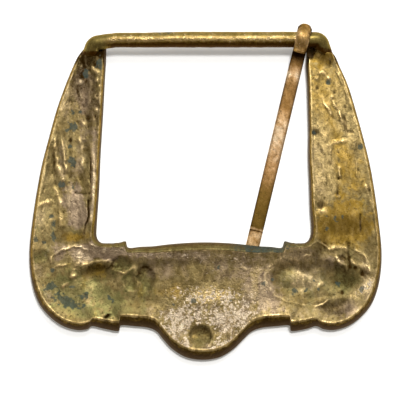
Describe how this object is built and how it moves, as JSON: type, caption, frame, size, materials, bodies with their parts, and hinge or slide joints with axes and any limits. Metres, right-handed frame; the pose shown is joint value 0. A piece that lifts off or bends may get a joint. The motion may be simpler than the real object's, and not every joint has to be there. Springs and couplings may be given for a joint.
{
  "type": "belt buckle",
  "caption": "Cast brass sash buckle with tapering side arms, a wide lobed lower plate hollowed at the back, a round belt bar and a loose flat prong.",
  "frame": {"origin": "On the surface that the front face lies on, under the middle of the buckle's box.", "axes": "+X along the belt bar, towards the end where the prong hangs. +Y from the lobed lower plate towards the bar. +Z out of the hollowed back, up from the surface."},
  "size_m": [0.08, 0.0766, 0.009],
  "materials": {
    "cast_brass": "antique cast, worn bright on the rims",
    "bronze_strip": "dull reddish strip, rubbed bright"
  },
  "bodies": {
    "casting": {"buckle_frame": "cast_brass"},
    "prong": {"prong": "bronze_strip"}
  },
  "joints": [
    {"name": "prong_hinge", "type": "hinge", "parent": "casting", "child": "prong", "pos_m": [0.0222, 0.03447, 0.0056], "axis": [1, 0, 0], "range_deg": [0, 353]}
  ]
}
